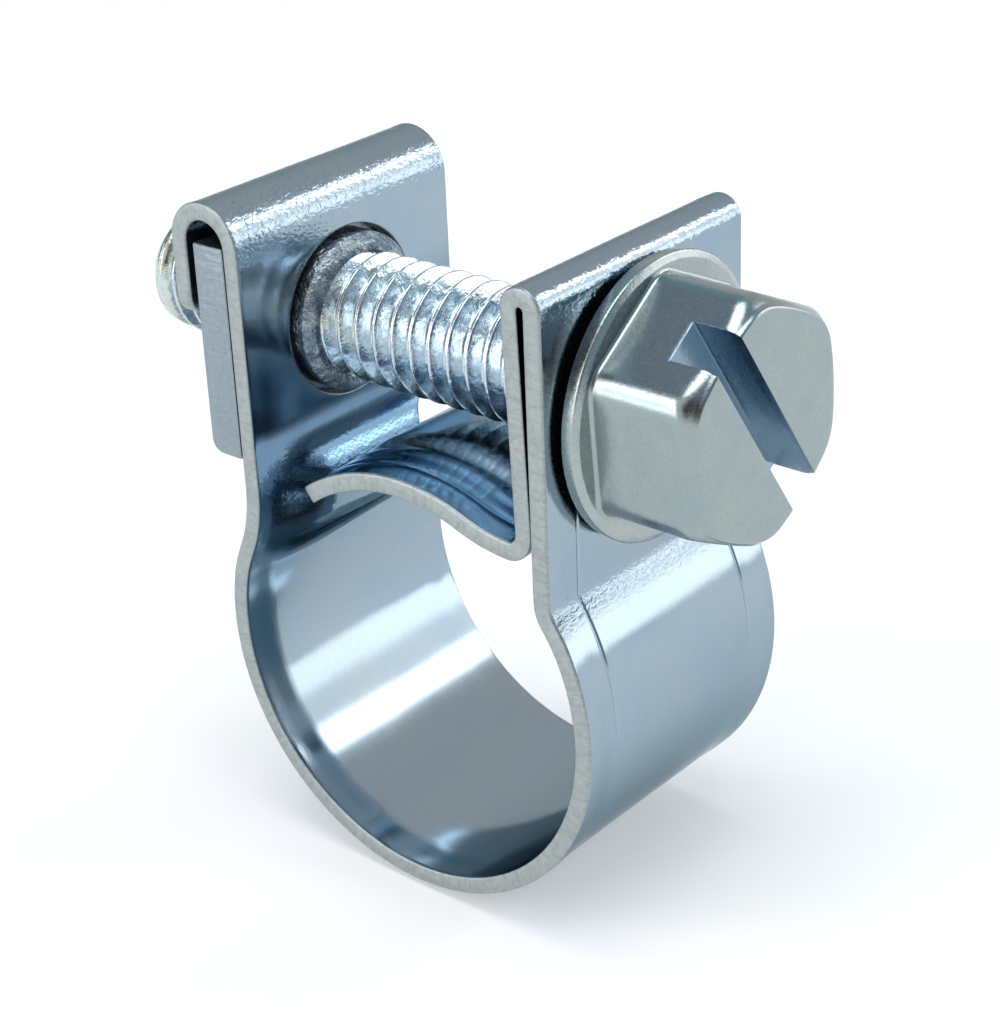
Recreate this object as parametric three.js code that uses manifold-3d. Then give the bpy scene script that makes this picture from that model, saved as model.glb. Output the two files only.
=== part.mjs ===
import * as THREE from 'three';
import { mergeVertices } from 'three/addons/utils/BufferGeometryUtils.js';
import Module from 'manifold-3d';

// Bolt-tightened mini hose clamp. Millimetres, +Z up.
// X runs along the screw (+X towards its head), Y across the band.
// All profile figures are given from the centre of the hose loop, then
// moved by LOOP_X and LOOP_Z so that Z = 0 is the lowest point of the band.

// ---- driving dimensions -------------------------------------------------
const BAND_W = 9.0;          // width of the strip
const BAND_T = 0.55;         // thickness of the strip
const LOOP_R = 6.605;        // loop radius at mid thickness
const LOOP_X = 1.45;         // loop centre from the row origin
const LOOP_Z = 6.88;

const SCREW_Z = 8.9;         // screw axis above the loop centre

// head-side ear: doubled leaf with a fold on top
const EAR_R_X = 5.375;       // outer leaf, mid thickness
const EAR_R_BEND = 1.0;      // bend from the leaf into the loop
const FOLD_R = 0.41;         // fold at the top, mid thickness
const FOLD_Z = 12.55;
const LEAF_LEAN = 1.95;      // degrees the inner leaf leans into the gap
const EAR_HOLE_R = 2.2;

// tongue that bridges the gap inside the loop
const TONGUE_C = [0.345, 0.294];
const TONGUE_R = 5.996;
const TONGUE_TIP_A = 129.5;  // degrees
const TONGUE_END_H = -21;    // heading where the crown ends
const TONGUE_RUN_R = 5.57;
const TONGUE_BEND_R = 0.55;

// nut-side ear: single leaf with an outward curl that holds the nut
const EAR_L_X = -5.675;
const EAR_L_BEND = 5.5;      // long easy bend from the loop into the ear
const CURL_R = 1.02;
const CURL_Z = 11.95;
const CURL_LEG_Z = 9.62;     // lower end of the short outer leg
const COLLAR_HOLE_R = 2.6;
const LEG_NOTCH_R = 2.35;
// relief cut in the strip's rear edge where this ear meets the loop
const RELIEF_Z = 3.6;
const RELIEF_DEPTH = 2.55;
const RELIEF_HALF = 2.15;

// nut plate
const NUT_X0 = -7.17;
const NUT_X1 = -5.98;
const NUT_Z0 = 5.45;
const NUT_Z1 = 12.0;
const NUT_W = 8.96;
const NUT_ROUND = 0.42;
const COLLAR_R = 2.42;
const COLLAR_X = -4.82;      // end of the round collar
const COLLAR_CHAMFER = 0.28;

// screw
const PITCH = 0.7;
const CREST_R = 1.95;
const ROOT_R = 1.54;
const THREAD_CLEAR = 0.06;   // radial clearance in the nut thread
const THREAD_SEG = 20;       // facets per turn
const TIP_X = -12.5;
const TIP_R = 1.42;
const TIP_CHAMFER = 0.62;
const PLAIN_X = 4.75;        // thread run-out towards the head
const NECK_R = 1.9;
const FLANGE_X0 = 5.84;
const FLANGE_X1 = 6.36;
const FLANGE_R = 4.1;
const HEAD_X = 9.6;
const HEAD_AF = 6.65;        // across flats
const HEAD_TURN = 34.5;      // degrees, corner direction from +Y
const HEAD_END_R = 3.3;      // end of the 30 degree chamfer
const SLOT_W = 1.25;
const SLOT_DEPTH = 1.42;

const DEG = Math.PI / 180;

const wasm = await Module();
wasm.setup();

function solid(geometry) {
  const g = geometry.clone();
  g.deleteAttribute('normal');
  g.deleteAttribute('uv');
  const m = mergeVertices(g, 1e-5);
  return new wasm.Manifold(new wasm.Mesh({
    numProp: 3,
    vertProperties: new Float32Array(m.attributes.position.array),
    triVerts: new Uint32Array(m.index.array),
  }));
}

function geometryOf(manifold) {
  const mesh = manifold.getMesh();
  const g = new THREE.BufferGeometry();
  g.setAttribute('position', new THREE.BufferAttribute(new Float32Array(mesh.vertProperties), 3));
  g.setIndex(new THREE.BufferAttribute(new Uint32Array(mesh.triVerts), 1));
  const flat = g.toNonIndexed();
  flat.computeVertexNormals();
  return flat;
}

// body of revolution about the screw axis; profile is [x, r] from low x to high x
function turned(profile, segments) {
  const pts = profile.map(([x, r]) => new THREE.Vector2(r, x));
  const g = new THREE.LatheGeometry(pts, segments);
  g.rotateZ(-Math.PI / 2);
  g.translate(0, 0, SCREW_Z);
  return g;
}

function rod(x0, x1, r, segments = 48) {
  return turned([[x0, 0], [x0, r], [x1, r], [x1, 0]], segments);
}

// closed outline in X-Z, extruded across the band
function slab(outline, width) {
  const shape = new THREE.Shape(outline.map(([x, z]) => new THREE.Vector2(x, z)));
  const g = new THREE.ExtrudeGeometry(shape, { depth: width, bevelEnabled: false, steps: 1 });
  g.rotateX(Math.PI / 2);
  g.translate(0, width / 2, 0);
  return g;
}

// ---- strip centre line --------------------------------------------------
// Walks a tangent-continuous path and keeps both faces of the strip.
class Strip {
  constructor(x, z, heading, half) {
    this.x = x; this.z = z; this.h = heading; this.half = half;
    this.left = []; this.right = [];
    this.mark();
  }
  mark() {
    const c = Math.cos(this.h * DEG), s = Math.sin(this.h * DEG);
    this.left.push([this.x - s * this.half, this.z + c * this.half]);
    this.right.push([this.x + s * this.half, this.z - c * this.half]);
  }
  straight(length) {
    this.x += Math.cos(this.h * DEG) * length;
    this.z += Math.sin(this.h * DEG) * length;
    this.mark();
  }
  // positive turn is to the left
  arc(radius, turn, step) {
    const n = Math.max(1, Math.ceil(Math.abs(turn) / step));
    const side = Math.sign(turn);
    for (let i = 0; i < n; i++) {
      const d = turn / n;
      const a = this.h * DEG;
      const b = (this.h + d) * DEG;
      this.x += side * radius * (Math.sin(b) - Math.sin(a));
      this.z -= side * radius * (Math.cos(b) - Math.cos(a));
      this.h += d;
      this.mark();
    }
  }
  outline() {
    return [...this.left].reverse().concat(this.right);
  }
}

function bandOutline() {
  const tip = TONGUE_TIP_A * DEG;
  const s = new Strip(
    TONGUE_C[0] + TONGUE_R * Math.cos(tip),
    TONGUE_C[1] + TONGUE_R * Math.sin(tip),
    TONGUE_TIP_A - 90, BAND_T / 2);
  // tongue: crown, run-out, bend up into the inner leaf
  s.arc(TONGUE_R, -(TONGUE_TIP_A - 90 - TONGUE_END_H), 5);
  s.arc(TONGUE_RUN_R, -3 - TONGUE_END_H, 5);
  s.arc(TONGUE_BEND_R, 93 + LEAF_LEAN, 12);
  // inner leaf, straight up to the fold
  const turnFold = 180 + LEAF_LEAN;
  s.straight((FOLD_Z - s.z) / Math.cos(LEAF_LEAN * DEG));
  const foldR = (EAR_R_X - s.x) / (1 + Math.cos(LEAF_LEAN * DEG));
  s.arc(foldR, -turnFold, 15);
  // outer leaf, down to the loop
  const rb = EAR_R_BEND;
  const zb = Math.sqrt((LOOP_R + rb) ** 2 - (EAR_R_X + rb) ** 2);
  const phiR = Math.atan2(zb, EAR_R_X + rb) / DEG;
  s.straight(s.z - zb);
  s.arc(rb, phiR, 8);
  // loop, clockwise round the bottom
  const lb = EAR_L_BEND;
  const zl = Math.sqrt((LOOP_R + lb) ** 2 - (EAR_L_X - lb) ** 2);
  const phiL = Math.atan2(zl, lb - EAR_L_X) / DEG;
  s.arc(LOOP_R, -(180 + phiR + phiL), 5);
  s.arc(lb, phiL, 8);
  // nut-side ear, curl and leg
  s.straight(CURL_Z - s.z);
  s.arc(CURL_R, 180, 12);
  s.straight(s.z - CURL_LEG_Z);
  return s.outline();
}

function bandSolid() {
  const strip = solid(slab(bandOutline(), BAND_W));
  const screwHole = solid(rod(3.6, 7.2, EAR_HOLE_R));
  const collarHole = solid(rod(-6.6, -5.0, COLLAR_HOLE_R));
  const notch = solid(rod(-8.6, -7.2, LEG_NOTCH_R));
  const reliefG = new THREE.CylinderGeometry(1, 1, 3, 40);
  reliefG.rotateZ(-Math.PI / 2);
  reliefG.scale(1, RELIEF_DEPTH, RELIEF_HALF);
  reliefG.translate(-6.1, BAND_W / 2, RELIEF_Z);
  const relief = solid(reliefG);
  return strip.subtract(screwHole).subtract(collarHole).subtract(notch).subtract(relief);
}

// ---- thread -------------------------------------------------------------
// A single-start right-hand thread body between two axial limits. Each row
// follows the helix, so the flanks are clean facets.
function threadGeometry(x0, x1, crest, root) {
  const stations = [0, 0.25, 0.5625, 0.6875].map((f, i) => [f, i < 2 ? root : crest]);
  const n = THREAD_SEG;
  const first = Math.floor(x0 / PITCH) - 1;
  const turns = Math.ceil((x1 - x0) / PITCH) + 2;
  const rows = turns * 4;
  const pos = [];
  const at = (i, j) => i * n + j;
  for (let i = 0; i < rows; i++) {
    const k = first + Math.floor(i / 4);
    const [f, r] = stations[i % 4];
    for (let j = 0; j < n; j++) {
      const a = (j / n) * 2 * Math.PI;
      pos.push((k + f + j / n) * PITCH, r * Math.cos(a), SCREW_Z + r * Math.sin(a));
    }
  }
  const tri = [];
  const quad = (a, b, c, d) => { tri.push(a, b, c, a, c, d); };
  for (let i = 0; i + 1 < rows; i++) {
    for (let j = 0; j + 1 < n; j++) quad(at(i, j), at(i, j + 1), at(i + 1, j + 1), at(i + 1, j));
    if (i + 5 < rows) quad(at(i, n - 1), at(i + 4, 0), at(i + 5, 0), at(i + 1, n - 1));
  }
  const low = pos.length / 3;
  pos.push((first - 0.5) * PITCH, 0, SCREW_Z);
  const high = low + 1;
  pos.push((first + turns + 1.5) * PITCH, 0, SCREW_Z);
  // low end: round the first row, then back down the step
  for (let j = 0; j + 1 < n; j++) tri.push(low, at(0, j + 1), at(0, j));
  tri.push(low, at(4, 0), at(0, n - 1));
  for (let i = 0; i < 4; i++) tri.push(low, at(i, 0), at(i + 1, 0));
  // high end
  const last = rows - 1;
  for (let j = 0; j + 1 < n; j++) tri.push(high, at(last, j), at(last, j + 1));
  for (let i = last - 4; i < last; i++) tri.push(high, at(i + 1, n - 1), at(i, n - 1));
  tri.push(high, at(last - 4, n - 1), at(last, 0));
  const g = new THREE.BufferGeometry();
  g.setAttribute('position', new THREE.Float32BufferAttribute(pos, 3));
  g.setIndex(tri);
  return g;
}

function threadSolid(x0, x1, crest, root) {
  const g = threadGeometry(x0, x1, crest, root);
  return new wasm.Manifold(new wasm.Mesh({
    numProp: 3,
    vertProperties: new Float32Array(g.attributes.position.array),
    triVerts: new Uint32Array(g.index.array),
  }));
}

// ---- nut ----------------------------------------------------------------
function nutSolid() {
  const r = NUT_ROUND;
  const outline = [[NUT_X1, NUT_Z0], [NUT_X1, NUT_Z1], [NUT_X0, NUT_Z1], [NUT_X0, NUT_Z0 + r]];
  for (let i = 1; i < 5; i++) {
    const a = (i / 5) * Math.PI / 2;
    outline.push([NUT_X0 + r * (1 - Math.cos(a)), NUT_Z0 + r * (1 - Math.sin(a))]);
  }
  outline.push([NUT_X0 + r, NUT_Z0]);
  const plate = solid(slab(outline, NUT_W));
  const collar = solid(turned([
    [NUT_X0 + 0.3, 0], [NUT_X0 + 0.3, COLLAR_R], [COLLAR_X - COLLAR_CHAMFER, COLLAR_R],
    [COLLAR_X, COLLAR_R - COLLAR_CHAMFER], [COLLAR_X, 0]], 48));
  const c = THREAD_CLEAR;
  const tap = threadSolid(NUT_X0 - 0.5, COLLAR_X + 0.5, CREST_R + c, ROOT_R + c)
    .intersect(solid(rod(NUT_X0 - 0.3, COLLAR_X + 0.3, 3)));
  return plate.add(collar).subtract(tap);
}

// ---- screw --------------------------------------------------------------
function screwSolid() {
  const envelope = solid(turned([
    [TIP_X, 0], [TIP_X, TIP_R], [TIP_X + TIP_CHAMFER, CREST_R + 0.02],
    [PLAIN_X, CREST_R + 0.02], [PLAIN_X + 0.35, ROOT_R], [PLAIN_X + 0.35, 0]], 40));
  const shank = threadSolid(TIP_X, PLAIN_X, CREST_R, ROOT_R).intersect(envelope);
  const neck = solid(turned([
    [PLAIN_X + 0.1, 0], [PLAIN_X + 0.1, ROOT_R - 0.06], [PLAIN_X + 0.45, NECK_R],
    [FLANGE_X0 + 0.2, NECK_R], [FLANGE_X0 + 0.2, 0]], 40));
  const flange = solid(turned([
    [FLANGE_X0, 0], [FLANGE_X0, FLANGE_R - 0.12], [FLANGE_X0 + 0.12, FLANGE_R],
    [FLANGE_X1 - 0.16, FLANGE_R], [FLANGE_X1, FLANGE_R - 0.16], [FLANGE_X1, 0]], 72));
  // hexagon
  const corner = HEAD_AF / 2 / Math.cos(30 * DEG);
  const hexG = new THREE.CylinderGeometry(corner, corner, HEAD_X - FLANGE_X1 + 0.2, 6, 1);
  hexG.rotateZ(-Math.PI / 2);
  hexG.translate((HEAD_X + FLANGE_X1 - 0.2) / 2, 0, 0);
  // a cylinder of six facets has a corner on its own Z; bring it to the wanted direction
  hexG.rotateX(-(90 - HEAD_TURN) * DEG);
  hexG.translate(0, 0, SCREW_Z);
  const drop = (corner + 0.2 - HEAD_END_R) * Math.tan(30 * DEG);
  const crown = solid(turned([
    [FLANGE_X1 - 0.3, 0], [FLANGE_X1 - 0.3, corner + 0.2], [HEAD_X - drop, corner + 0.2],
    [HEAD_X, HEAD_END_R], [HEAD_X, 0]], 72));
  // slot runs from flat to flat
  const slotG = new THREE.BoxGeometry(SLOT_DEPTH + 1, 12, SLOT_W);
  slotG.rotateX((HEAD_TURN + 90) * DEG);
  slotG.translate(HEAD_X - SLOT_DEPTH + (SLOT_DEPTH + 1) / 2, 0, SCREW_Z);
  const hex = solid(hexG).intersect(crown).subtract(solid(slotG));
  return shank.add(neck).add(flange).add(hex);
}

// ---- assembly -----------------------------------------------------------
const clamp = new THREE.Group();
clamp.name = 'hose_clamp';

function piece(name, manifold, colour, roughness, metalness) {
  const g = geometryOf(manifold);
  g.translate(LOOP_X, 0, LOOP_Z);
  const mesh = new THREE.Mesh(g, new THREE.MeshStandardMaterial({ color: colour, roughness, metalness }));
  mesh.name = name;
  clamp.add(mesh);
}

piece('band', bandSolid(), 0xa9b8c2, 0.28, 1.0);
piece('nut', nutSolid(), 0x9da6ad, 0.45, 1.0);
piece('screw', screwSolid(), 0xb2b8ae, 0.35, 1.0);

export default clamp;
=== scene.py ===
import math

import bmesh
import bpy
import numpy as np
from mathutils import Matrix, Vector, noise


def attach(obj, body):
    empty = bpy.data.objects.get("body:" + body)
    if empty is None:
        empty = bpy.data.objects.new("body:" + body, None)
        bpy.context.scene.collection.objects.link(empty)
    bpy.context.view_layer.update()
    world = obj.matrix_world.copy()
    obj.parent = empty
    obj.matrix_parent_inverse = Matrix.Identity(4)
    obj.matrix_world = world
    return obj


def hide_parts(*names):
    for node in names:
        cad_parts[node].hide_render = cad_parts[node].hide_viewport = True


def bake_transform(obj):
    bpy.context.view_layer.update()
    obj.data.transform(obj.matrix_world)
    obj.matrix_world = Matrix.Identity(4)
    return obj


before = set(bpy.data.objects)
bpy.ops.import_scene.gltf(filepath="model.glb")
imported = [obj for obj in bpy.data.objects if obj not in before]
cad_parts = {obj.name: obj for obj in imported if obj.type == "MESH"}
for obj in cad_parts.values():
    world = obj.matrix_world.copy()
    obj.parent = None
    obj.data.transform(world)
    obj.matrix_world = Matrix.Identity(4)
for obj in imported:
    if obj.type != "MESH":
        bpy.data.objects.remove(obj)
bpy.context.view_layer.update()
MM = 0.001

# ------------------------------------------------------------------ sizes, mm
# Profile figures are from the loop centre, as in the CAD source.
W = 9.0
T = 0.55
LOOP_R = 6.605
LOOP_X, LOOP_Z = 1.45, 6.88
SCREW_Z = 8.9
EAR_R_X, EAR_R_BEND = 5.375, 1.0
FOLD_Z = 12.55
LEAN = 1.95
EAR_HOLE_R = 2.2
TONGUE_C = (0.345, 0.294)
TONGUE_R = 5.996
TIP_A = 129.5
END_H = -21.0
RUN_R = 5.57
BEND_R = 0.55
EAR_L_X, EAR_L_BEND = -5.675, 5.5
CURL_R, CURL_Z, LEG_Z = 1.02, 11.95, 9.62
COLLAR_HOLE_R = 2.6
NOTCH_R = 2.35
RELIEF_Z, RELIEF_DEPTH, RELIEF_HALF = 3.6, 2.55, 2.15  # cut in the rear edge at the foot of the nut-side ear

rad = math.radians


# ------------------------------------------------------------------ strip path
class Path:
    """Tangent-continuous path in X-Z: lines and arcs, walked by length."""

    def __init__(self, x, z, heading):
        self.x, self.z, self.h, self.s = x, z, heading, 0.0
        self.parts = []

    def line(self, length):
        self.parts.append((self.s, length, self.x, self.z, self.h, 0.0))
        self.x += math.cos(rad(self.h)) * length
        self.z += math.sin(rad(self.h)) * length
        self.s += length

    def arc(self, radius, turn):
        length = radius * abs(rad(turn))
        k = math.copysign(1.0 / radius, turn)
        self.parts.append((self.s, length, self.x, self.z, self.h, k))
        a, b = rad(self.h), rad(self.h + turn)
        self.x += (math.sin(b) - math.sin(a)) / k
        self.z -= (math.cos(b) - math.cos(a)) / k
        self.h += turn
        self.s += length

    def at(self, s):
        for s0, length, x, z, h, k in reversed(self.parts):
            if s >= s0 - 1e-9:
                d = s - s0
                a = rad(h)
                if k == 0.0:
                    return x + math.cos(a) * d, z + math.sin(a) * d, a
                b = a + k * d
                return x + (math.sin(b) - math.sin(a)) / k, z - (math.cos(b) - math.cos(a)) / k, b
        return self.at(0.0)


tip = rad(TIP_A)
path = Path(TONGUE_C[0] + TONGUE_R * math.cos(tip), TONGUE_C[1] + TONGUE_R * math.sin(tip), TIP_A - 90)
marks = {}
path.arc(TONGUE_R, -(TIP_A - 90 - END_H))
path.arc(RUN_R, -3 - END_H)
path.arc(BEND_R, 93 + LEAN)
marks["leaf0"] = path.s
leaf_z0, leaf_x0 = path.z, path.x
path.line((FOLD_Z - path.z) / math.cos(rad(LEAN)))
marks["hole_inner"] = marks["leaf0"] + (SCREW_Z - leaf_z0) / math.cos(rad(LEAN))
fold_r = (EAR_R_X - path.x) / (1 + math.cos(rad(LEAN)))
marks["fold0"] = path.s
path.arc(fold_r, -(180 + LEAN))
marks["fold1"] = path.s
z_top = path.z
zb = math.sqrt((LOOP_R + EAR_R_BEND) ** 2 - (EAR_R_X + EAR_R_BEND) ** 2)
phi_r = math.degrees(math.atan2(zb, EAR_R_X + EAR_R_BEND))
marks["hole_outer"] = path.s + (z_top - SCREW_Z)
path.line(path.z - zb)
marks["shoulder_r"] = path.s
path.arc(EAR_R_BEND, phi_r)
zl = math.sqrt((LOOP_R + EAR_L_BEND) ** 2 - (EAR_L_X - EAR_L_BEND) ** 2)
phi_l = math.degrees(math.atan2(zl, EAR_L_BEND - EAR_L_X))
marks["loop0"] = path.s
path.arc(LOOP_R, -(180 + phi_r + phi_l))
marks["loop1"] = path.s
path.arc(EAR_L_BEND, phi_l)
marks["ear_l"] = path.s
marks["hole_left"] = path.s + (SCREW_Z - path.z)
path.line(CURL_Z - path.z)
marks["curl0"] = path.s
path.arc(CURL_R, 180)
marks["curl1"] = path.s
path.line(path.z - LEG_Z)
S_END = path.s

# ------------------------------------------------------------------ flat blank
DY = 0.2
Y_LINES = [-W / 2 + DY * k for k in range(int(round(W / DY)) + 1)]
MARK_Y = 3.2
Y_LINES += [sign * (MARK_Y + o) for sign in (-1, 1) for o in (-0.07, -0.035, 0.0, 0.035, 0.07)]
Y_LINES += [sign * (W / 2 - o) for sign in (-1, 1) for o in (0.13,)]
TONGUE_MARK_Y, TONGUE_BEAD_Y = 3.62, 2.7
Y_LINES += [sign * (TONGUE_MARK_Y + o) for sign in (-1, 1) for o in (-0.05, 0.0, 0.05)]
Y_LINES.sort()
patches = [  # centre, hole radius, half side
    (marks["hole_inner"], EAR_HOLE_R, 2.9),
    (marks["hole_outer"], EAR_HOLE_R, 2.9),
    (marks["hole_left"], COLLAR_HOLE_R, 3.1),
]
NOTCH_S = S_END + (LEG_Z - SCREW_Z)  # the notch circle's centre, past the end of the leg
NOTCH_B, NOTCH_HALF = 2.2, 2.9


def near_relief(s):
    """Distance figure across the relief cut, or 0 away from it."""
    if s < marks["loop1"] - 4.0 or s > marks["ear_l"] + 2.0:
        return 0.0
    u = (path.at(s)[1] - RELIEF_Z) / RELIEF_HALF
    return 1.0 if abs(u) < 1.06 else 0.0


def rear_half(s):
    """Half width of the strip on its rear side."""
    if near_relief(s):
        u = (path.at(s)[1] - RELIEF_Z) / RELIEF_HALF
        if abs(u) < 1.0:
            return W / 2 - RELIEF_DEPTH * math.sqrt(1 - u * u)
    return W / 2


def s_of_z(z, lo, hi):
    for _ in range(50):
        mid = (lo + hi) / 2
        if path.at(mid)[1] < z:
            lo = mid
        else:
            hi = mid
    return lo


def s_lines():
    stops = {0.0, S_END}
    for z in (RELIEF_Z - RELIEF_HALF * 1.06, RELIEF_Z - RELIEF_HALF, RELIEF_Z + RELIEF_HALF):
        stops.add(s_of_z(z, marks["loop1"] - 4.0, marks["ear_l"] + 2.0))
    for s0, length, *_ in path.parts:
        stops.add(s0)
    for c, _, a in patches:
        stops.update((c - a, c + a))
    stops.add(S_END - NOTCH_B)
    for edge in (0.6,):
        stops.update((edge, S_END - edge))
    stops = sorted(stops)
    clean = [stops[0]]
    for s in stops[1:]:
        if s - clean[-1] > 0.02:
            clean.append(s)
        elif any(abs(s - e) < 1e-9 for c, _, a in patches for e in (c - a, c + a)) or s == S_END:
            clean[-1] = s
    out = [clean[0]]
    for a, b in zip(clean, clean[1:]):
        mid = (a + b) / 2
        cell = next((2 * h / round(2 * h / DY) for c, _, h in patches if c - h - 1e-6 < mid < c + h + 1e-6), None)
        if cell is None:
            k = next(p[5] for p in reversed(path.parts) if mid >= p[0])
            cell = DY if k == 0 else min(0.28, rad(6.0) / abs(k)) if abs(k) > 0.5 else 0.24
            if near_relief(mid):
                cell = 0.07
        n = max(1, int(round((b - a) / cell)))
        out += [a + (b - a) * i / n for i in range(1, n + 1)]
    return out


# every patch interval must be cut into the same number of cells as its width
def patch_lines(lines):
    result = list(lines)
    for c, _, a in patches:
        lo, hi = c - a, c + a
        n = int(round(2 * a / DY))
        result = [s for s in result if s < lo - 1e-6 or s > hi + 1e-6]
        result += [lo + (hi - lo) * i / n for i in range(n + 1)]
    lo, n = S_END - NOTCH_B, int(round(NOTCH_B / DY))
    result = [s for s in result if s < lo - 1e-6]
    result += [lo + NOTCH_B * i / n for i in range(n + 1)]
    return sorted(result)


S_LINES = patch_lines(s_lines())


class Blank:
    """The flat strip with its holes: quads in (s, y), shared vertices."""

    def __init__(self):
        self.v, self.key, self.q = [], {}, []

    def vert(self, s, y):
        k = (round(s * 2e4), round(y * 2e4))
        if k not in self.key:
            self.key[k] = len(self.v)
            self.v.append((s, y))
        return self.key[k]

    def quad(self, *pts):
        ids = [self.vert(*p) for p in pts]
        if len(set(ids)) >= 3:
            self.q.append(ids)


blank = Blank()


def in_patch(s, y):
    for c, _, a in patches:
        if abs(s - c) < a and abs(y) < a:
            return True
    return s > S_END - NOTCH_B and abs(y) < NOTCH_HALF


for s0, s1 in zip(S_LINES, S_LINES[1:]):
    for y0, y1 in zip(Y_LINES, Y_LINES[1:]):
        if not in_patch((s0 + s1) / 2, (y0 + y1) / 2):
            blank.quad((s0, y0), (s1, y0), (s1, y1), (s0, y1))


def ring_patch(outer, inner, rings, closed):
    n = len(outer)
    levels = []
    for r in range(rings + 1):
        f = r / rings
        f = f ** 1.15
        levels.append([(i[0] + (o[0] - i[0]) * f, i[1] + (o[1] - i[1]) * f) for o, i in zip(outer, inner)])
    count = n if closed else n - 1
    for r in range(rings):
        for i in range(count):
            j = (i + 1) % n
            blank.quad(levels[r][i], levels[r + 1][i], levels[r + 1][j], levels[r][j])


for c, radius, a in patches:
    n = int(round(2 * a / DY))
    side = [-a + 2 * a * i / n for i in range(n)]
    square = [(a, t) for t in side] + [(-t, a) for t in side] + [(-a, -t) for t in side] + [(t, -a) for t in side]
    circle = []
    for s, y in square:
        g = math.atan2(y, s)
        circle.append((c + radius * math.cos(g), radius * math.sin(g)))
    ring_patch([(c + s, y) for s, y in square], circle, 5, True)

nb = int(round(NOTCH_B / DY))
nw = int(round(2 * NOTCH_HALF / DY))
frame_pts = [(S_END - NOTCH_B * i / nb, -NOTCH_HALF) for i in range(nb)]
frame_pts += [(S_END - NOTCH_B, -NOTCH_HALF + 2 * NOTCH_HALF * i / nw) for i in range(nw)]
frame_pts += [(S_END - NOTCH_B + NOTCH_B * i / nb, NOTCH_HALF) for i in range(nb + 1)]
half_angle = math.acos((NOTCH_S - S_END) / NOTCH_R)
arc_pts = []
total = len(frame_pts) - 1
for i in range(total + 1):
    g = -half_angle + 2 * half_angle * i / total
    arc_pts.append((NOTCH_S - NOTCH_R * math.cos(g), NOTCH_R * math.sin(g)))
arc_pts[0] = (S_END, arc_pts[0][1])
arc_pts[-1] = (S_END, arc_pts[-1][1])
ring_patch(frame_pts[::-1], arc_pts[::-1], 5, False)


def corner_round(v):
    """Small plan radius on the strip's four free corners."""
    out = []
    for s, y in v:
        for end, size in ((0.0, 0.45), (S_END, 0.6)):
            d = abs(s - end)
            e = W / 2 - abs(y)
            if d < size and e < size:
                p, q = 1 - d / size, 1 - e / size
                p, q = p * math.sqrt(1 - q * q / 2), q * math.sqrt(1 - p * p / 2)
                s = end + math.copysign(size * (1 - p), S_END / 2 - end)
                y = math.copysign(W / 2 - size * (1 - q), y)
        out.append((s, y))
    return out


def relieve(v):
    out = []
    for s, y in v:
        if y > 0.4:
            half = rear_half(s)
            y = 0.4 + (y - 0.4) * (half - 0.4) / (W / 2 - 0.4)
        out.append((s, y))
    return out


flat = np.array(relieve(corner_round(blank.v)))


def thicken(flat2, quads, r_left, r_right, steps=3):
    """Both faces and a rounded wall round every free edge. Returns vertices (s, y, n), faces, and a wall flag."""
    count = {}
    for q in quads:
        for a, b in zip(q, q[1:] + q[:1]):
            count[(a, b)] = 1
    border = [(a, b) for (a, b) in count if (b, a) not in count]
    nxt = {a: b for a, b in border}
    prv = {b: a for a, b in border}
    assert len(nxt) == len(border) == len(prv), "border isn't simple"
    out = {}
    for a in nxt:
        p, c, n = flat2[prv[a]], flat2[a], flat2[nxt[a]]
        e0, e1 = c - p, n - c
        e0, e1 = e0 / np.linalg.norm(e0), e1 / np.linalg.norm(e1)
        n0, n1 = np.array([e0[1], -e0[0]]), np.array([e1[1], -e1[0]])
        m = n0 + n1
        m = m / max(0.5, m @ m / 2)
        out[a] = m
    verts, faces, wall = [], [], []
    left, right = {}, {}
    for i, p in enumerate(flat2):
        d = out.get(i, np.zeros(2))
        q = p - d * r_left
        left[i] = len(verts)
        verts.append((q[0], q[1], T / 2))
        q = p - d * r_right
        right[i] = len(verts)
        verts.append((q[0], q[1], -T / 2))
    for q in quads:
        faces.append([left[i] for i in q])
        wall.append(0)
        faces.append([right[i] for i in reversed(q)])
        wall.append(0)
    rings = {}
    for a in nxt:
        p, d = flat2[a], out[a]
        ids = [left[a]]
        for k in range(1, steps + 1):
            g = math.pi / 2 * k / steps
            q = p - d * r_left * (1 - math.sin(g))
            ids.append(len(verts))
            verts.append((q[0], q[1], T / 2 - r_left * (1 - math.cos(g))))
        for k in range(steps, 0, -1):
            g = math.pi / 2 * k / steps
            q = p - d * r_right * (1 - math.sin(g))
            ids.append(len(verts))
            verts.append((q[0], q[1], -T / 2 + r_right * (1 - math.cos(g))))
        ids.append(right[a])
        rings[a] = ids
    for a, b in border:
        ra, rb = rings[a], rings[b]
        for k in range(len(ra) - 1):
            faces.append([ra[k], ra[k + 1], rb[k + 1], rb[k]])
            wall.append(1)
    return np.array(verts), faces, wall


s_press = s_of_z(3.9, marks["loop1"] - 4.0, marks["ear_l"] + 2.0)
pts, band_faces, band_wall = thicken(flat, blank.q, 0.085, 0.05)


def smooth01(x, a, b):
    t = min(1.0, max(0.0, (x - a) / (b - a)))
    return t * t * (3 - 2 * t)


def press_depth(u):
    """Depth of the pressed foot: a long upper flank, a steep face, a crest at 0 and an easy run back, in mm."""
    if u >= 1.9:
        return 0.0
    if u >= 1.3:
        return 0.5 * 0.35 / 0.6 * (1.9 - u) ** 2
    if u >= 0.95:
        t = 1.3 - u
        return 0.105 + 0.35 * t + 0.5 * 0.39 / 0.35 * t * t
    if u >= 0.4:
        return 0.29575 + 0.74 * (0.95 - u)
    if u >= 0.0:
        t = 0.4 - u
        return 0.70275 + 0.74 * t - 0.5 * 0.74 / 0.4 * t * t
    return 0.85075 * (0.5 + 0.5 * math.cos(math.pi * min(-u, 2.6) / 2.6))


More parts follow.
